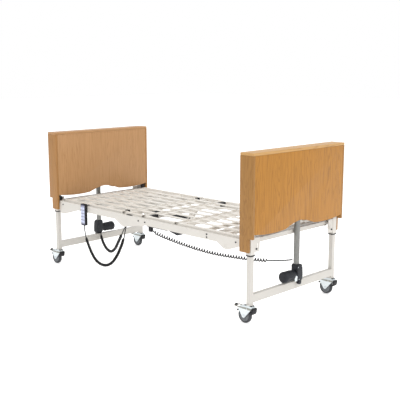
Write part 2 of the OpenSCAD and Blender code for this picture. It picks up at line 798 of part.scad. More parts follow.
head_chassis();
foot_chassis();
color(steel) place() at_head() carriage();  // head_carriage
color(steel) place() carriage();  // foot_carriage
color(black) place() {  // sleeve_bushes
    bushes();
    at_head() bushes();
}
color(oak) place() at_head() board_panels();  // head_board_panels
color(oak) place() at_head() board_trim();  // head_board_trim
color(oak) place() board_panels();  // foot_board_panels
color(oak) place() board_trim();  // foot_board_trim
knob(-1, -1);  // knob_head_near
knob(-1, 1);  // knob_head_far
knob(1, -1);  // knob_foot_near
knob(1, 1);  // knob_foot_far
control_box();
rail_fasteners();
hinge_pins();
seat_section();
backrest_section();
thigh_section();
calf_section();
backrest_drive();
backrest_rod();
knee_drive();
knee_rod();
place() at_head() lift_motor();  // head_lift_motor
place() lift_motor();  // foot_lift_motor
color(silver) place() at_head() lift_column();  // head_lift_column
color(silver) place() lift_column();  // foot_lift_column
color(silver) place() at_head() lift_rod();  // head_lift_rod
color(silver) place() lift_rod();  // foot_lift_rod
color(steel) place() at_head() leg_frame();  // head_leg_frame
color(steel) place() leg_frame();  // foot_leg_frame
handset_front();
handset_back();
cord(handset_route);  // handset_cord
cord(head_route);  // head_motor_cord
cord(foot_route);  // foot_motor_cord
cord_plugs();
for (c = CASTORS) {
    fork(c);
    wheel(c);
    brake(c);
}
KEYS = ["key_back_up", "key_back_down", "key_knee_up", "key_knee_down", "key_chair_up",
        "key_chair_down", "key_height_up", "key_height_down", "key_lock_on", "key_lock_off"];
for (i = [0:len(KEYS) - 1]) key(i);
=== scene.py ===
"""Looks of the adjustable hospital bed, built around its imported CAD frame."""
import json
import math

import bmesh
import bpy
from mathutils import Matrix, Vector


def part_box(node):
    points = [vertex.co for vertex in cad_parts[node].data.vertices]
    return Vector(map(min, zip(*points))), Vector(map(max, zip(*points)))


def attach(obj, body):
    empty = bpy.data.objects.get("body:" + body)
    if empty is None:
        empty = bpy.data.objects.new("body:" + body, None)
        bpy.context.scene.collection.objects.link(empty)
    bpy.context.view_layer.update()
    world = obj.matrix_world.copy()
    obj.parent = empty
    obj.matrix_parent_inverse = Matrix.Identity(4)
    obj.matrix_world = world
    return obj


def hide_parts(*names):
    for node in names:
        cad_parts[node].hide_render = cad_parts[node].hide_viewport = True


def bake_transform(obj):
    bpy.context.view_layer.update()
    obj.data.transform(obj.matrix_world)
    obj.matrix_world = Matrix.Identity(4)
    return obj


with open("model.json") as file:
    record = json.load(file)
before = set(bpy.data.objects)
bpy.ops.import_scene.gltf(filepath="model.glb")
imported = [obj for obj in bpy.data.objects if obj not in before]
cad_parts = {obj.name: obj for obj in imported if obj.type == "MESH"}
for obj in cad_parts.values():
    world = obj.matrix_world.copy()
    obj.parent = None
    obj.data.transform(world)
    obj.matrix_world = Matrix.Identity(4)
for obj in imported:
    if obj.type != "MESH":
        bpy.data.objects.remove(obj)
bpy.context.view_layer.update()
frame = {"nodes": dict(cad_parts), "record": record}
nodes = frame["nodes"]
MM = 0.001
ENDS = {"foot": 1, "head": -1}
CORNERS = {"foot_near": (1, -1), "foot_far": (1, 1), "head_near": (-1, -1), "head_far": (-1, 1)}

# Sizes in metres. SHIFT is how far the middle between the legs stands from the frame's origin.
# The sizes of the end boards are read from the frame.
SHIFT = 0.0355
LEG_X = 1.017
LEG_Y = 0.430
BOARD_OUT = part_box("foot_board_trim")[1].x - SHIFT
BOARD_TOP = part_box("foot_board_trim")[1].z
HALF_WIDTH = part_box("foot_board_trim")[1].y
BOARD_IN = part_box("foot_board_trim")[0].x - SHIFT
BOARD_THICK = 0.018


# ---- camera ----

def make_camera():
    azimuth = math.radians(44.823)
    elevation = math.radians(10.091)
    back = Vector((math.sin(azimuth) * math.cos(elevation),
                   -math.cos(azimuth) * math.cos(elevation), math.sin(elevation)))
    camera = bpy.data.objects.new("camera", bpy.data.cameras.new("camera"))
    bpy.context.scene.collection.objects.link(camera)
    camera.data.sensor_width = 36
    camera.data.lens = 66.16
    camera.data.clip_end = 60
    camera.location = Vector((3.8653 + SHIFT, -3.7310, 1.5535))
    camera.rotation_euler = (-back).to_track_quat("-Z", "Y").to_euler()
    bpy.context.scene.camera = camera


# ---- mesh helpers ----

def new_object(name, bm, smooth=35):
    """A mesh object from bm, shaded smooth up to an angle in degrees."""
    bmesh.ops.recalc_face_normals(bm, faces=bm.faces)
    mesh = bpy.data.meshes.new(name)
    bm.to_mesh(mesh)
    bm.free()
    piece = bpy.data.objects.new(name, mesh)
    bpy.context.scene.collection.objects.link(piece)
    mesh.polygons.foreach_set("use_smooth", [True] * len(mesh.polygons))
    mesh.set_sharp_from_angle(angle=math.radians(smooth))
    return piece


def finish_piece(piece, body, slot, material, *replaced):
    piece.data.materials.clear()
    piece.data.materials.append(material)
    if body:
        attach(piece, body)
    if replaced:
        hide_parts(*replaced)
    return piece


def add_prism(bm, outline, low, high, axis="y", bevel=0.0, segments=2):
    """Extrudes an outline of (a, b) points from low to high along axis.

    The outline is in the other two axes, in order.
    """
    def point(a, b, t):
        return {"x": (t, a, b), "y": (a, t, b), "z": (a, b, t)}[axis]
    base = [bm.verts.new(point(a, b, low)) for a, b in outline]
    top = [bm.verts.new(point(a, b, high)) for a, b in outline]
    count = len(outline)
    faces = [bm.faces.new(base), bm.faces.new(list(reversed(top)))]
    for i in range(count):
        j = (i + 1) % count
        faces.append(bm.faces.new((base[j], base[i], top[i], top[j])))
    bmesh.ops.recalc_face_normals(bm, faces=faces)
    if bevel > 0:
        sharp = [e for f in faces for e in f.edges if e.calc_face_angle(0) > math.radians(30)]
        bmesh.ops.bevel(bm, geom=list(set(sharp)), offset=bevel, segments=segments, affect="EDGES",
                        profile=0.5, clamp_overlap=True)


def add_box(bm, low, high, bevel=0.002, segments=2):
    outline = [(low[0], low[1]), (high[0], low[1]), (high[0], high[1]), (low[0], high[1])]
    add_prism(bm, outline, low[2], high[2], "z", bevel, segments)


def add_lathe(bm, profile, centre, axis, segments=48):
    """Turns a profile of (radius, distance along axis) about axis through centre."""
    axis = Vector(axis).normalized()
    side = axis.orthogonal().normalized()
    other = axis.cross(side)
    centre = Vector(centre)
    rings = []
    for radius, along in profile:
        if radius < 1e-6:
            rings.append([bm.verts.new(centre + axis * along)])
            continue
        rings.append([bm.verts.new(centre + axis * along
                                   + radius * (math.cos(2 * math.pi * k / segments) * side
                                               + math.sin(2 * math.pi * k / segments) * other))
                      for k in range(segments)])
    closed = profile[0][0] > 1e-6 and profile[0] == profile[-1]
    if closed:
        for v in rings[-1]:
            bm.verts.remove(v)
        rings[-1] = rings[0]
    for a, b in zip(rings, rings[1:]):
        for k in range(segments):
            m = (k + 1) % segments
            if len(a) == 1 and len(b) > 1:
                bm.faces.new((a[0], b[k], b[m]))
            elif len(b) == 1 and len(a) > 1:
                bm.faces.new((a[k], b[0], a[m]))
            elif len(a) > 1:
                bm.faces.new((a[k], b[k], b[m], a[m]))


def capped(profile):
    """A lathe profile closed on its axis at both ends."""
    return [(0, profile[0][1])] + profile + [(0, profile[-1][1])]


def rounded(radius, low, high, edge, steps=4):
    """The lathe profile of a round bar whose rims are rounded."""
    first = [(radius - edge + edge * math.sin(math.pi / 2 * i / steps),
              low + edge - edge * math.cos(math.pi / 2 * i / steps))
             for i in range(steps + 1)]
    last = [(r, high - (along - low)) for r, along in reversed(first)]
    return capped(first + last)


def arc(centre, radius, start, end, steps):
    """Points on an arc, angles in degrees."""
    return [(centre[0] + radius * math.cos(math.radians(start + (end - start) * i / steps)),
             centre[1] + radius * math.sin(math.radians(start + (end - start) * i / steps)))
            for i in range(steps + 1)]


def round_cornered(low, high, corner, steps, wide_x=0.0, wide_z=0.0):
    """The outline in x and z of a rectangle with round corners, made wider on each side."""
    outline = []
    for x, z, start in ((high.x + wide_x - corner, high.z + wide_z - corner, 0),
                        (low.x - wide_x + corner, high.z + wide_z - corner, 90),
                        (low.x - wide_x + corner, low.z - wide_z + corner, 180),
                        (high.x + wide_x - corner, low.z - wide_z + corner, 270)):
        outline += arc((x, z), corner, start, start + 90, steps)
    return outline


def add_spun_box(bm, spin, low, high, bevel):
    """A box made at the origin and then placed by spin."""
    first = len(bm.verts)
    add_box(bm, low, high, bevel, 2)
    bm.verts.ensure_lookup_table()
    bmesh.ops.transform(bm, matrix=spin, verts=bm.verts[first:])


def moved(bm, offset):
    bm.verts.ensure_lookup_table()
    bmesh.ops.translate(bm, vec=offset, verts=bm.verts[:])


def sweep(bm, points, radii, sides=8):
    """A closed tube along points, each with its own radius, carried without twist."""
    count = len(points)
    tangents = [(points[min(i + 1, count - 1)] - points[max(i - 1, 0)]).normalized() for i in range(count)]
    normal = tangents[0].orthogonal().normalized()
    rings = []
    for i in range(count):
        normal = (normal - normal.dot(tangents[i]) * tangents[i]).normalized()
        other = tangents[i].cross(normal)
        rings.append([bm.verts.new(points[i] + radii[i] * (math.cos(2 * math.pi * k / sides) * normal
                                                            + math.sin(2 * math.pi * k / sides) * other))
                      for k in range(sides)])
    for a, b in zip(rings, rings[1:]):
        for k in range(sides):
            m = (k + 1) % sides
            bm.faces.new((a[k], a[m], b[m], b[k]))
    bm.faces.new(list(reversed(rings[0])))
    bm.faces.new(rings[-1])


# ---- materials ----

class Tree:
    """Short names for building a node material."""

    def __init__(self, name, roughness, metallic=0.0):
        self.material = bpy.data.materials.new(name)
        self.material.use_nodes = True
        self.nodes = self.material.node_tree.nodes
        self.links = self.material.node_tree.links
        self.shader = self.nodes["Principled BSDF"]
        self.shader.inputs["Roughness"].default_value = roughness
        self.shader.inputs["Metallic"].default_value = metallic
        self.place = self.nodes.new("ShaderNodeTexCoord").outputs["Object"]

    def noise(self, scale, stretch=(1, 1, 1), detail=3.0, distortion=0.0, rough=0.5):
        mapping = self.nodes.new("ShaderNodeMapping")
        mapping.inputs["Scale"].default_value = stretch
        self.links.new(self.place, mapping.inputs["Vector"])
        noise = self.nodes.new("ShaderNodeTexNoise")
        noise.inputs["Scale"].default_value = scale
        noise.inputs["Detail"].default_value = detail
        noise.inputs["Roughness"].default_value = rough
        noise.inputs["Distortion"].default_value = distortion
        self.links.new(mapping.outputs["Vector"], noise.inputs["Vector"])
        return noise.outputs["Fac"]

    def ramp(self, value, *stops):
        ramp = self.nodes.new("ShaderNodeValToRGB")
        elements = ramp.color_ramp.elements
        while len(elements) < len(stops):
            elements.new(0.5)
        for element, (position, colour) in zip(elements, stops):
            element.position = position
            element.color = (*colour, 1)
        self.links.new(value, ramp.inputs["Fac"])
        return ramp.outputs["Color"]

    def mix(self, kind, factor, first, second):
        mix = self.nodes.new("ShaderNodeMix")
        mix.data_type = "RGBA"
        mix.blend_type = kind
        mix.inputs[0].default_value = factor
        self.links.new(first, mix.inputs[6])
        self.links.new(second, mix.inputs[7])
        return mix.outputs[2]

    def spread(self, value, low, high):
        spread = self.nodes.new("ShaderNodeMapRange")
        spread.inputs["From Min"].default_value = 0.3
        spread.inputs["From Max"].default_value = 0.7
        spread.inputs["To Min"].default_value = low
        spread.inputs["To Max"].default_value = high
        self.links.new(value, spread.inputs["Value"])
        return spread.outputs["Result"]

    def colour(self, output):
        self.links.new(output, self.shader.inputs["Base Color"])

    def roughness(self, output):
        self.links.new(output, self.shader.inputs["Roughness"])

    def bump(self, height, strength, distance=0.001):
        bump = self.nodes.new("ShaderNodeBump")
        bump.inputs["Strength"].default_value = strength
        bump.inputs["Distance"].default_value = distance
        self.links.new(height, bump.inputs["Height"])
        self.links.new(bump.outputs["Normal"], self.shader.inputs["Normal"])


def scaled(colour, factor):
    return tuple(min(1.0, c * factor) for c in colour)


def speckled(name, colour, roughness, metallic=0.0, grain=900, bump=0.15, vary=0.06, patch=14, shine=0.5):
    """A finish with slow colour patches, a fine grain in its relief and uneven gloss."""
    tree = Tree(name, roughness, metallic)
    patches = tree.noise(patch, detail=4)
    tree.colour(tree.ramp(patches, (0.3, scaled(colour, 1 - vary)), (0.7, scaled(colour, 1 + vary))))
    tree.roughness(tree.spread(tree.noise(patch * 4), roughness - 0.07, roughness + 0.09))
    tree.bump(tree.noise(grain, detail=2), bump, 0.0004)
    tree.shader.inputs["Specular IOR Level"].default_value = shine
    return tree.material


def brushed(name, colour, roughness, stretch, metallic=1.0):
    """Metal with fine lines along one direction and a few duller patches."""
    tree = Tree(name, roughness, metallic)
    lines = tree.noise(60, stretch, detail=6)
    tree.colour(tree.ramp(lines, (0.3, scaled(colour, 0.86)), (0.7, scaled(colour, 1.08))))
    tree.roughness(tree.spread(tree.noise(25, detail=4), roughness - 0.08, roughness + 0.12))
    tree.bump(lines, 0.12, 0.0003)
    return tree.material


def oak(name, light, dark, stretch):
    """Oak veneer: broad wandering figure, soft streaks and short dark pores, all along the grain."""
    tree = Tree(name, 0.42)
    broad = tuple(0.45 * s for s in stretch)
    figure = tree.noise(3.0, broad, detail=4, distortion=1.6, rough=0.55)
    band_width = 0.045
    rings = tree.nodes.new("ShaderNodeMath")
    rings.operation = "PINGPONG"
    rings.inputs[1].default_value = band_width
    tree.links.new(figure, rings.inputs[0])
    bands = tree.nodes.new("ShaderNodeMapRange")
    bands.inputs["From Max"].default_value = band_width
    tree.links.new(rings.outputs[0], bands.inputs["Value"])
    streaks = tree.noise(14, stretch, detail=8, distortion=0.3, rough=0.65)
    pores = tree.noise(80, stretch, detail=3, rough=0.7)
    base = tree.ramp(bands.outputs["Result"], (0.0, dark), (0.50, light), (1.0, light))
    fine = tree.ramp(streaks, (0.30, (0.90, 0.88, 0.85)), (0.62, (1.0, 1.0, 1.0)))
    holes = tree.ramp(pores, (0.28, (0.80, 0.75, 0.70)), (0.40, (1.0, 1.0, 1.0)))
    tree.colour(tree.mix("MULTIPLY", 0.7, tree.mix("MULTIPLY", 0.9, base, fine), holes))
    tree.roughness(tree.spread(streaks, 0.36, 0.52))
    tree.bump(pores, 0.25, 0.0003)
    tree.shader.inputs["Specular IOR Level"].default_value = 0.3
    return tree.material


ALONG_Z = (9, 9, 0.55)
ALONG_Y = (9, 0.55, 9)
OAK_LIGHT = (0.395, 0.176, 0.026)
OAK_DARK = (0.285, 0.124, 0.019)
HEAD_LIGHT = (0.415, 0.228, 0.100)
HEAD_DARK = (0.355, 0.190, 0.078)

POWDER = {"roughness": 0.42, "grain": 1400, "bump": 0.10, "vary": 0.02, "patch": 6}

powder = speckled("powder_coat", (0.565, 0.54, 0.50), **POWDER)
# The legs get a darker copy of the same powder coat as painted shade, and the deck sections a lighter copy
# as painted light.
powder_legs_painted_shade = speckled("powder_legs_painted_shade", (0.52, 0.50, 0.465), **POWDER)
powder_deck_painted_light = speckled("powder_deck_painted_light", (0.67, 0.64, 0.59), **POWDER)
black_plastic = speckled("black_plastic", (0.010, 0.010, 0.012), 0.55, bump=0.3, vary=0.2, shine=0.3)
drive_plastic = speckled("drive_plastic", (0.013, 0.015, 0.020), 0.50, bump=0.3, vary=0.2, shine=0.3)
navy_plastic = speckled("navy_plastic", (0.026, 0.029, 0.078), 0.45, bump=0.25, vary=0.12)
keypad_sheet = speckled("keypad_sheet", (0.27, 0.275, 0.36), 0.45, bump=0.1, vary=0.06)
key_plastic = speckled("key_plastic", (0.50, 0.54, 0.70), 0.38, bump=0.1, vary=0.05)
cord_rubber = speckled("cord_rubber", (0.007, 0.007, 0.008), 0.55, grain=500, bump=0.2, vary=0.2, shine=0.25)
tyre_rubber = speckled("tyre_rubber", (0.050, 0.052, 0.057), 0.7, grain=500, bump=0.5, vary=0.15, shine=0.3)
hub_plastic = speckled("hub_plastic", (0.16, 0.17, 0.18), 0.5, bump=0.2, vary=0.1)
brake_paint = speckled("brake_paint", (0.05, 0.052, 0.055), 0.4, bump=0.2, vary=0.2)
dull_steel = brushed("dull_steel", (0.30, 0.30, 0.27), 0.42, (3, 3, 3), metallic=0.8)
zinc = brushed("zinc_plate", (0.66, 0.71, 0.73), 0.34, (4, 4, 4))
bright_steel = brushed("bright_steel", (0.30, 0.30, 0.30), 0.28, (6, 6, 0.5))
grey_tube = brushed("grey_tube", (0.225, 0.225, 0.215), 0.42, (8, 8, 0.4), metallic=0.85)
foot_oak = oak("foot_oak", OAK_LIGHT, OAK_DARK, ALONG_Z)
# The side-return oaks are darker copies of the face oak: painted shade on the returns.
foot_oak_shaded_side = oak("foot_oak_shaded_side", (0.312, 0.155, 0.041), (0.245, 0.118, 0.029), ALONG_Z)
# The foot cap oak is a lighter copy of the face oak: painted light on the cap's top.
foot_oak_cap_painted_light = oak("foot_oak_cap_painted_light", (0.490, 0.285, 0.105), (0.400, 0.220, 0.078), ALONG_Y)
head_oak = oak("head_oak", HEAD_LIGHT, HEAD_DARK, ALONG_Z)
head_oak_shaded_side = oak("head_oak_shaded_side", (0.345, 0.172, 0.056), (0.290, 0.142, 0.044), ALONG_Z)
head_oak_cap = oak("head_oak_cap", HEAD_LIGHT, HEAD_DARK, ALONG_Y)


# ---- cords ----

CURL_R = 0.011
WIRE_R = 0.003
# On a straight stretch the wire gets a point every POINT_SHARE of a STRAIGHT_TURN.
STRAIGHT_TURN = 0.012
POINT_SHARE = 0.4
# Each point of a route is x, y, z in millimetres and the cord's outer radius there.
HANDSET_ROUTE = [
    (-626, -463, 382, 3), (-624, -463, 355, 3), (-620, -461, 325, 3),
    (-614, -459, 292, 3), (-608, -458, 274, 11), (-592, -456, 240, 11),
    (-572, -454, 204, 11), (-548, -452, 168, 11), (-516, -450, 134, 11),
    (-476, -448, 113, 11), (-435, -446, 105, 11), (-395, -444, 108, 11),
    (-356, -442, 122, 11), (-318, -441, 147, 11), (-286, -440, 180, 11),
    (-256, -438, 220, 11), (-232, -436, 262, 11), (-212, -434, 300, 11),
    (-200, -432, 332, 11), (-192, -430, 350, 3), (-184, -427, 390, 3),
    (-178, -422, 428, 3), (-166, -414, 452, 3), (-140, -407, 464, 3),
    (-90, -403, 468, 3), (-30, -401, 470, 3), (37, -400, 470, 3)]
HEAD_ROUTE = [
    (-999.8, -22, 204, 3), (-994, -25, 186, 3), (-980, -33, 164, 11),
    (-940, -52, 140, 11), (-900, -72, 127, 11), (-850, -96, 116, 11),
    (-790, -125, 110, 11), (-725, -156, 112, 11), (-660, -187, 122, 11),
    (-600, -216, 142, 11), (-550, -240, 166, 11), (-505, -261, 192, 11),
    (-455, -286, 228, 11), (-410, -308, 264, 11), (-368, -328, 298, 11),
    (-330, -346, 328, 11), (-312, -354, 342, 3), (-270, -374, 378, 3),
    (-225, -392, 418, 3), (-195, -398, 444, 3), (-165, -390, 458, 3),
    (-120, -382, 466, 3), (-50, -376, 470, 3), (37, -375, 470, 3)]
FOOT_ROUTE = [
    (94, -408, 444, 3), (108, -407, 440, 3), (124, -403, 433, 11),
    (151, -395, 423, 11), (187, -381, 410, 11), (224, -364, 398, 11),
    (297, -330, 375, 11), (370, -297, 355, 11), (441, -265, 339, 11),
    (512, -232, 326, 11), (582, -200, 318, 11), (651, -168, 313, 11),
    (725, -135, 309, 11), (800, -101, 308, 11), (845, -80, 309, 11),
    (862, -72, 310, 3), (905, -52, 313, 3), (950, -32, 318, 3),
    (985, -15, 324, 3), (1010, -1, 329, 3)]


def smooth_route(route, step=0.001):
    """Points every step along a smooth curve through the route, with the cord's outer radius at each."""
    points = [Vector(p[:3]) * MM + Vector((SHIFT, 0, 0)) for p in route]
    radii = [p[3] * MM for p in route]
    made = []
    last = len(points) - 1
    for i in range(last):
        a, b, c, d = (points[max(i - 1, 0)], points[i], points[i + 1], points[min(i + 2, last)])
        pieces = max(2, round((c - b).length / step))
        for k in range(pieces):
            t = k / pieces
            spot = 0.5 * (2 * b + (c - a) * t + (2 * a - 5 * b + 4 * c - d) * t * t
                          + (3 * b - a - 3 * c + d) * t ** 3)
            made.append((spot, radii[i] + (radii[i + 1] - radii[i]) * t))
    made.append((points[-1], radii[-1]))
    return made


def curled(route, pitch, wire_r, curl_r, turn_points=12):
    """The centreline of a wire that runs straight where the route is thin and winds where it is thick."""
    line = smooth_route(route)
    normal = (line[1][0] - line[0][0]).orthogonal().normalized()
    turned = 0.0
    due = 0.0
    wire = []
    for i, (spot, radius) in enumerate(line):
        ahead = line[min(i + 1, len(line) - 1)][0]
        behind = line[max(i - 1, 0)][0]
        tangent = (ahead - behind).normalized()
        normal = (normal - normal.dot(tangent) * tangent).normalized()
        other = tangent.cross(normal)
        share = max(0.0, min(1.0, (radius - WIRE_R) / (CURL_R - WIRE_R)))
        step = (ahead - spot).length
        if share <= 0:
            if turned >= due:
                wire.append(spot)
                due = turned + POINT_SHARE
            turned += step / STRAIGHT_TURN
            continue
        count = max(1, round(turn_points * step / pitch))
        for k in range(count):
            angle = 2 * math.pi * (turned + k * step / pitch / count)
            reach = (curl_r - wire_r) * share
            wire.append(spot + (ahead - spot) * k / count
                        + reach * (math.cos(angle) * normal + math.sin(angle) * other))
        turned += step / pitch
        due = turned
    wire.append(line[-1][0])
    return wire


def make_cord(name, route, pitch, bodies, wire_r, curl_r=CURL_R):
    """A curly cord as one tube. It rides on one body; a cord between two bodies is left in place on neither.
    """
    wire = curled(route, pitch, wire_r, curl_r)
    bm = bmesh.new()
    sweep(bm, wire, [wire_r] * len(wire), 8)
    piece = new_object(name, bm, 60)
    rides_on = bodies[0] if len(bodies) == 1 else None
    finish_piece(piece, rides_on, "cord_jacket", cord_rubber, name.replace("_wire", ""))
    if len(bodies) > 1:
        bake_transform(piece)


make_camera()
make_cord("handset_cord_wire", HANDSET_ROUTE, 0.0080, ["deck"], 0.0037)
make_cord("head_motor_cord_wire", HEAD_ROUTE, 0.0080, ["head_legs", "deck"], 0.0037)
make_cord("foot_motor_cord_wire", list(reversed(FOOT_ROUTE)), 0.0190, ["foot_legs", "deck"], 0.0041, 0.0132)


# ---- finishes of the CAD nodes that keep their shape ----

FINISHES = {
    "powder_coat": powder, "black_plastic": black_plastic, "drive_shell": drive_plastic,
    "bright_steel": bright_steel, "grey_tube": grey_tube, "zinc_fork": zinc, "castor_wheel": tyre_rubber,
    "brake_lever": brake_paint, "handset_shell": navy_plastic, "key_plastic": key_plastic,
    "cord_jacket": cord_rubber, "board_oak": foot_oak, "trim_oak": foot_oak_shaded_side}
for entry in frame["record"]["subparts"]:
    node = nodes[entry["node"]]
    node.data.materials.clear()
    finish = FINISHES[entry["material_slot"]]
    # Deck sections take the lighter powder copy (painted light) and leg frames the darker copy (painted
    # shade).
    if entry["node"].endswith("_section"):
        finish = powder_deck_painted_light
    if entry["node"].endswith("_leg_frame"):
        finish = powder_legs_painted_shade
    node.data.materials.append(finish)


# ---- end boards ----

def arch(y):
    """Height of a panel's lower edge at a distance from its middle."""
    if abs(y) < 0.150:
        return 0.565 + 0.037 * (1 - (abs(y) / 0.150) ** 1.6)
    return 0.559 + 0.015 * ((abs(y) - 0.265) / 0.187) ** 2


def make_board(end):
    sign = ENDS[end]
    # side is a darker copy of the face oak, painted shade on the returns; for the foot, cap is a lighter
    # copy, painted light on its top.
    face, side, cap = ((foot_oak, foot_oak_shaded_side, foot_oak_cap_painted_light) if end == "foot"
                       else (head_oak, head_oak_shaded_side, head_oak_cap))
    inside = HALF_WIDTH - BOARD_THICK
    top = BOARD_TOP - BOARD_THICK
    steps = 90
    across = [-inside + 2 * inside * i / steps for i in range(steps + 1)]
    outline = [(y, arch(y)) for y in across] + [(inside, top), (-inside, top)]

    def between(a, b):
        return sorted((sign * a + SHIFT, sign * b + SHIFT))

    for name, a, b in (("outer", BOARD_OUT - BOARD_THICK, BOARD_OUT),
                       ("inner", BOARD_IN, BOARD_IN + BOARD_THICK)):
        bm = bmesh.new()
        add_prism(bm, outline, *between(a, b), "x", 0.0012, 2)
        finish_piece(new_object(f"{end}_board_{name}_panel", bm), "deck", "board_oak", face,
                     f"{end}_board_panels")
    bm = bmesh.new()
    low, high = between(BOARD_IN, BOARD_OUT)
    add_box(bm, (low, -HALF_WIDTH, top), (high, HALF_WIDTH, BOARD_TOP), 0.0035, 4)
    finish_piece(new_object(f"{end}_board_cap", bm), "deck", "trim_oak", cap, f"{end}_board_trim")
    step_x = BOARD_IN + 0.073
    shape = [(BOARD_IN, top - 0.0002), (BOARD_IN, 0.459), (step_x, 0.459), (step_x, 0.546),
             (BOARD_OUT, 0.546), (BOARD_OUT, top - 0.0002)]
    outline = [(sign * x + SHIFT, z) for x, z in shape]
    for name, y in (("near", -HALF_WIDTH), ("far", HALF_WIDTH - BOARD_THICK)):
        bm = bmesh.new()
        add_prism(bm, outline, y, y + BOARD_THICK, "y", 0.0015, 3)
        finish_piece(new_object(f"{end}_board_{name}_return", bm), "deck", "trim_oak", side,
                     f"{end}_board_trim")


for end in ENDS:
    make_board(end)


# ---- castors ----

WHEEL_R = 0.050
TRAIL = 0.036


def make_wheel(corner):
    sx, sy = CORNERS[corner]
    centre = (sx * LEG_X - TRAIL + SHIFT, sy * LEG_Y, WHEEL_R)
    half = 0.013
    crown = [(WHEEL_R - 0.0004 - 0.0036 * abs(math.sin(a)) ** 3, half * 0.92 * math.sin(a))
             for a in [math.pi / 2 * i / 6 for i in range(-6, 7)]]
    tyre = ([(0.0372, -half + 0.0008), (0.0405, -half - 0.0002), (0.0440, -half + 0.0002)] + crown
            + [(0.0440, half - 0.0002), (0.0405, half + 0.0002), (0.0372, half - 0.0008)])
    tyre.append(tyre[0])
    bm = bmesh.new()
    add_lathe(bm, tyre, centre, (0, 1, 0), 72)
    body = "castor_wheel_" + corner
    finish_piece(new_object(f"tyre_{corner}", bm), body, "castor_wheel", tyre_rubber, "wheel_" + corner)
    hub = [(0.0052, -0.0145), (0.0105, -0.0145), (0.0125, -0.0120), (0.0135, -0.0080), (0.0310, -0.0065),
           (0.0328, -0.0085), (0.0340, -0.0120), (0.0370, -0.0122), (0.0370, 0.0122), (0.0340, 0.0120),
           (0.0328, 0.0085), (0.0310, 0.0065), (0.0135, 0.0080), (0.0125, 0.0120), (0.0105, 0.0145),
           (0.0052, 0.0145)]
    hub.append(hub[0])
    bm = bmesh.new()
    add_lathe(bm, hub, centre, (0, 1, 0), 72)
    finish_piece(new_object(f"hub_{corner}", bm), body, "castor_wheel", hub_plastic)
    bm = bmesh.new()
    for k in range(6):
        angle = math.radians(60 * k + 15)
        spin = Matrix.Translation(centre) @ Matrix.Rotation(angle, 4, "Y")
        add_spun_box(bm, spin, (0.0122, -0.0105, -0.0016), (0.0335, 0.0105, 0.0016), 0.0006)
    finish_piece(new_object(f"hub_ribs_{corner}", bm), body, "castor_wheel", hub_plastic)


def corner_place(corner):
    sx, sy = CORNERS[corner]
    return Vector((sx * LEG_X + SHIFT, sy * LEG_Y, 0))


def make_fork(corner):
    """Two pressed cheeks, the crown between them, the swivel housing and the axle bolt."""
    offset = corner_place(corner)
    body = "castor_" + corner
    cheek = ([(0.024, 0.117), (0.031, 0.104), (0.022, 0.094)]
             + arc((-TRAIL, WHEEL_R), 0.0145, -40, -150, 6)
             + [(-0.062, 0.064), (-0.078, 0.084), (-0.080, 0.096), (-0.066, 0.109)]
             + arc((-0.030, 0.107), 0.011, 130, 90, 3))
    bm = bmesh.new()
    for low, high in ((-0.019, -0.0160), (0.0160, 0.019)):
        add_prism(bm, cheek, low, high, "y", 0.0007, 2)
    roof = [(-0.074, 0.1005), (-0.066, 0.109), (-0.030, 0.1182), (0.024, 0.1172), (0.0285, 0.1080),
            (0.0255, 0.1070), (0.0215, 0.1140), (-0.030, 0.1150), (-0.064, 0.1062), (-0.0725, 0.0985)]
    add_prism(bm, roof, -0.0165, 0.0165, "y", 0.0006, 2)
    add_lathe(bm, rounded(0.0188, 0.102, 0.1213, 0.0025), (0, 0, 0), (0, 0, 1))
    for side in (-1, 1):
        add_lathe(bm, rounded(0.0075, 0.0191, 0.0219, 0.0008), (-TRAIL, 0, WHEEL_R), (0, side, 0), 24)
        add_lathe(bm, rounded(0.0040, 0.0180, 0.0238, 0.0008), (-0.006, 0, 0.100), (0, side, 0), 20)
    moved(bm, offset)
    finish_piece(new_object(f"castor_fork_{corner}", bm), body, "zinc_fork", zinc, "fork_" + corner)
    bm = bmesh.new()
    prong = [(-0.062, 0.080), (-0.078, 0.086), (-0.092, 0.080), (-0.0965, 0.074), (-0.090, 0.0675),
             (-0.084, 0.0735), (-0.076, 0.0765), (-0.064, 0.072)]
    add_prism(bm, prong, -0.0125, 0.0125, "y", 0.0012, 3)
    for x in (-0.027, 0.020):
        for y in (0.010, -0.010):
            add_lathe(bm, rounded(0.0062, 0.114, 0.1212, 0.0015), (x, y, 0), (0, 0, 1), 20)
    moved(bm, offset)
    finish_piece(new_object(f"castor_trigger_{corner}", bm), body, "brake_lever", black_plastic)


def make_brake(corner):
    """A pressed rocker lever with a moulded toe pad in front and a round tread at its tip."""
    offset = corner_place(corner)
    body = "brake_pedal_" + corner
    arm = ([(0.030, 0.106), (0.028, 0.096), (0.010, 0.0935), (-0.008, 0.0940), (-0.060, 0.0965),
            (-0.108, 0.0985), (-0.108, 0.1030), (-0.060, 0.1040), (-0.008, 0.1065)])
    bm = bmesh.new()
    for low, high in ((-0.0224, -0.0197), (0.0197, 0.0224)):
        add_prism(bm, arm, low, high, "y", 0.0006, 2)
    add_box(bm, (-0.1080, -0.0222, 0.0988), (-0.1020, 0.0222, 0.1027), 0.0008, 2)
    moved(bm, offset)
    finish_piece(new_object(f"brake_arms_{corner}", bm), body, "brake_lever", dull_steel, "brake_" + corner)
    bm = bmesh.new()
    pad = [(0.0335, 0.1085), (0.0405, 0.1040), (0.0425, 0.0980), (0.0400, 0.0860), (0.0355, 0.0700),
           (0.0290, 0.0655), (0.0240, 0.0665), (0.0215, 0.0720), (0.0300, 0.0850), (0.0325, 0.0960)]
    add_prism(bm, pad, -0.0222, 0.0222, "y", 0.0018, 3)
    add_lathe(bm, rounded(0.0085, -0.0100, 0.0100, 0.004), (-0.1115, 0, 0.1012), (0, 1, 0), 28)
    moved(bm, offset)
    finish_piece(new_object(f"brake_pads_{corner}", bm), body, "brake_lever", black_plastic)


for corner in CORNERS:
    make_wheel(corner)
    make_fork(corner)
    make_brake(corner)


# ---- lift motors ----

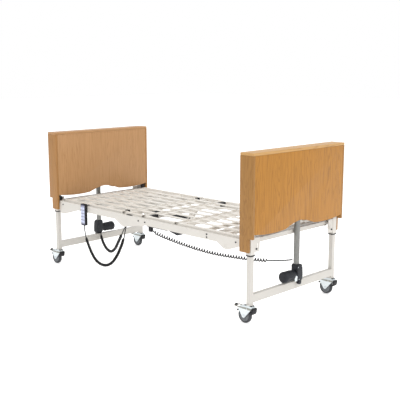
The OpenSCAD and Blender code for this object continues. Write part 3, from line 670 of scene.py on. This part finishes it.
def make_lift_motor(end):
    """A gear housing round the foot of the column, with a ribbed motor can lying across the bed."""
    turn = Matrix.Identity(4) if end == "foot" else Matrix.Rotation(math.pi, 4, "Z")
    body = end + "_legs"
    slide = Matrix.Translation((SHIFT, 0, 0)) @ turn
    low_z, high_z = 0.189, 0.302
    motor = (1.029, 0, 0.234)
    bm = bmesh.new()
    shell = [(-0.004, 0.212), (0.004, 0.196), (0.018, low_z), (0.040, low_z), (0.0525, 0.204),
             (0.0535, 0.232), (0.0500, 0.276), (0.0440, 0.296), (0.036, high_z), (-0.001, high_z),
             (-0.0055, 0.292), (-0.0055, 0.262)]
    add_prism(bm, shell, 1.0035, 1.0575, "x", 0.006, 4)
    lug = [(0.010, 0.192), (0.013, 0.172), (0.018, 0.1665), (0.032, 0.1665), (0.037, 0.172), (0.040, 0.192)]
    add_prism(bm, lug, 1.0345, 1.0575, "x", 0.003, 3)
    bmesh.ops.transform(bm, matrix=slide, verts=bm.verts)
    finish_piece(new_object(f"{end}_gear_housing", bm), body, "drive_shell", drive_plastic,
                 f"{end}_lift_motor")
    bm = bmesh.new()
    can = [(0.0250, 0.006), (0.0255, -0.012), (0.0275, -0.022), (0.0335, -0.032), (0.0345, -0.038),
           (0.0345, -0.090), (0.0350, -0.0955), (0.0370, -0.0975), (0.0377, -0.110), (0.0365, -0.120),
           (0.0310, -0.1265), (0.0200, -0.1278)]
    add_lathe(bm, capped(can), motor, (0, 1, 0), 64)
    ribs = 12
    for k in range(ribs):
        spin = Matrix.Translation(motor) @ Matrix.Rotation(2 * math.pi * k / ribs, 4, "Y")
        add_spun_box(bm, spin, (0.0330, -0.093, -0.0022), (0.0362, -0.038, 0.0022), 0.0009)
    bmesh.ops.transform(bm, matrix=slide, verts=bm.verts)
    finish_piece(new_object(f"{end}_motor_can", bm), body, "drive_shell", drive_plastic)
    bm = bmesh.new()
    for y, z in ((0.002, 0.285), (0.043, 0.284), (0.046, 0.212), (0.012, 0.203)):
        add_lathe(bm, rounded(0.0032, 1.0565, 1.0585, 0.0007), (0, y, z), (1, 0, 0), 20)
    plate = [(-0.034, 0.198), (-0.008, 0.194), (-0.006, 0.226), (-0.014, 0.232), (-0.034, 0.226)]
    add_prism(bm, plate, 1.0560, 1.0578, "x", 0.0004, 1)
    bmesh.ops.transform(bm, matrix=slide, verts=bm.verts)
    finish_piece(new_object(f"{end}_motor_screws", bm), body, "drive_shell", zinc)


for end in ENDS:
    make_lift_motor(end)


# ---- handset ----

def make_handset():
    low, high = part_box("handset_front")
    rear_low, rear_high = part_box("handset_back")
    bm = bmesh.new()
    centre_x = (low.x + high.x) / 2
    centre_z = (low.z + high.z) / 2
    front = low.y
    outline = round_cornered(low, high, 0.007, 5)
    add_prism(bm, outline, front + 0.0006, high.y, "y", 0.0022, 3)
    finish_piece(new_object("handset_shell_front", bm), "deck", "handset_shell", black_plastic,
                 "handset_front")
    bm = bmesh.new()
    inset = 0.0045
    plate = [(centre_x + (x - centre_x) * (1 - inset / (high.x - centre_x)),
              centre_z + (z - centre_z) * (1 - 2 * inset / (high.z - low.z)))
             for x, z in outline]
    add_prism(bm, plate, front + 0.0002, front + 0.002, "y", 0.0005, 2)
    finish_piece(new_object("handset_face", bm), "deck", "handset_shell", navy_plastic)
    bm = bmesh.new()
    back_face = rear_low.y + 0.012
    add_prism(bm, outline, rear_low.y, back_face, "y", 0.0018, 3)
    hook = [(back_face - 0.001, 0.5285), (back_face - 0.001, 0.5315), (rear_high.y, 0.5315),
            (rear_high.y, 0.514), (rear_high.y - 0.0025, 0.514), (rear_high.y - 0.0025, 0.5285)]
    add_prism(bm, hook, centre_x - 0.015, centre_x + 0.015, "x", 0.0006, 2)
    finish_piece(new_object("handset_rear", bm), "deck", "handset_shell", black_plastic, "handset_back")
    bm = bmesh.new()
    add_box(bm, (low.x + 0.0055, front, low.z + 0.012),
            (high.x - 0.0040, front + 0.0010, high.z - 0.012), 0.0003, 2)
    finish_piece(new_object("keypad_sheet", bm), "deck", "handset_shell", keypad_sheet)
    for entry in frame["record"]["subparts"]:
        if entry["material_slot"] == "key_plastic":
            make_key(entry["node"])


def make_key(node):
    """A key with rounded corners and a slightly wider cap."""
    low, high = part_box(node)
    bm = bmesh.new()
    add_box(bm, (low.x + 0.0003, low.y + 0.0002, low.z + 0.0003),
            (high.x - 0.0003, high.y, high.z - 0.0003), 0.0001, 1)
    outline = round_cornered(low, high, 0.0035, 4, 0.0006, 0.0010)
    add_prism(bm, outline, low.y, low.y + 0.0004, "y", 0.00015, 2)
    finish_piece(new_object(f"cap_{node}", bm), f"button_{node[4:]}", "key_plastic", key_plastic, node)


make_handset()


# ---- small parts on the frame ----

def make_frame_details():
    bm = bmesh.new()
    for side in (-1, 1):
        add_lathe(bm, rounded(0.0118, 0.4470, 0.4497, 0.001), (0.831 + SHIFT, 0, 0.466), (0, side, 0), 48)
    finish_piece(new_object("tube_end_plugs", bm), "deck", "powder_coat", powder)
    bm = bmesh.new()
    for side in (-1, 1):
        # The thin black strips on top of the section edges beside the rails are painted shadow for the gap
        # there; the black bolts are real.
        add_box(bm, (-0.145 + SHIFT, side * 0.437 - 0.008, 0.5279),
                (-0.092 + SHIFT, side * 0.437 + 0.008, 0.5320), 0.0015, 2)
        for sign in (-1, 1):
            spot = (sign * 1.0329 + SHIFT, side * 0.394, 0.474)
            add_lathe(bm, rounded(0.0062, 0.0, 0.0060, 0.0012), spot, (sign, 0, 0), 6)
    finish_piece(new_object("painted_shadow_strips_and_bolts", bm), "deck", "black_plastic", black_plastic)
    # The black loops round the thigh and backrest cross tubes are painted shadow in the gaps beside those
    # tubes.
    for name, body, x, y0, y1 in (("thigh_spar_painted_shadow", "thigh_rest", 0.0455, 0.318, 0.380),
                                  ("backrest_spar_painted_shadow", "backrest", -0.2305, 0.348, 0.374)):
        bm = bmesh.new()
        for side in (-1, 1):
            low_y, high_y = sorted((side * y0, side * y1))
            painted_shadow_loop(bm, x + SHIFT, low_y, high_y)
        finish_piece(new_object(name, bm), body, "black_plastic", black_plastic)


def painted_shadow_loop(bm, x, y0, y1):
    """A thin black loop round a cross tube: painted shadow along the tube's edges."""
    half, low, high, thick = 0.0127, 0.5098, 0.5402, 0.0011
    for a, b in (((x - half - thick, y0, low), (x - half, y1, high)),
                 ((x + half, y0, low), (x + half + thick, y1, high)),
                 ((x - half - thick, y0, high - 0.0002), (x + half + thick, y1, high + thick)),
                 ((x - half - thick, y0, low - thick), (x + half + thick, y1, low + 0.0002))):
        add_box(bm, a, b, 0.0003, 1)


make_frame_details()


# ---- floor and light ----

def make_studio():
    bm = bmesh.new()
    bmesh.ops.create_grid(bm, x_segments=2, y_segments=2, size=30)
    floor = new_object("floor", bm)
    floor.location.z = -0.0005
    tree = Tree("floor_paint", 0.75)
    tree.colour(tree.ramp(tree.noise(3), (0.3, (0.93, 0.93, 0.93)), (0.7, (0.95, 0.95, 0.95))))
    tree.shader.inputs["Emission Color"].default_value = (1, 1, 1, 1)
    tree.shader.inputs["Emission Strength"].default_value = 0.38
    floor.data.materials.append(tree.material)
    world = bpy.data.worlds.new("studio")
    bpy.context.scene.world = world
    world.use_nodes = True
    world.node_tree.nodes["Background"].inputs["Color"].default_value = (1.0, 1.0, 1.0, 1)
    world.node_tree.nodes["Background"].inputs["Strength"].default_value = 1.0
    lights = (("key", (1.5, -4.5, 4.5), 3.5, 60), ("fill", (5.0, 0.5, 3.0), 3.0, 50),
              ("top", (0.0, 1.0, 5.0), 4.0, 60))
    for name, place, size, power in lights:
        light = bpy.data.objects.new(name, bpy.data.lights.new(name, "AREA"))
        light.data.shape = "DISK"
        light.data.size = size
        light.data.energy = power
        light.location = place
        light.rotation_euler = (-Vector(place) + Vector((0, 0, 0.5))).to_track_quat("-Z", "Y").to_euler()
        bpy.context.scene.collection.objects.link(light)
    bpy.context.scene.view_settings.view_transform = "Standard"


make_studio()
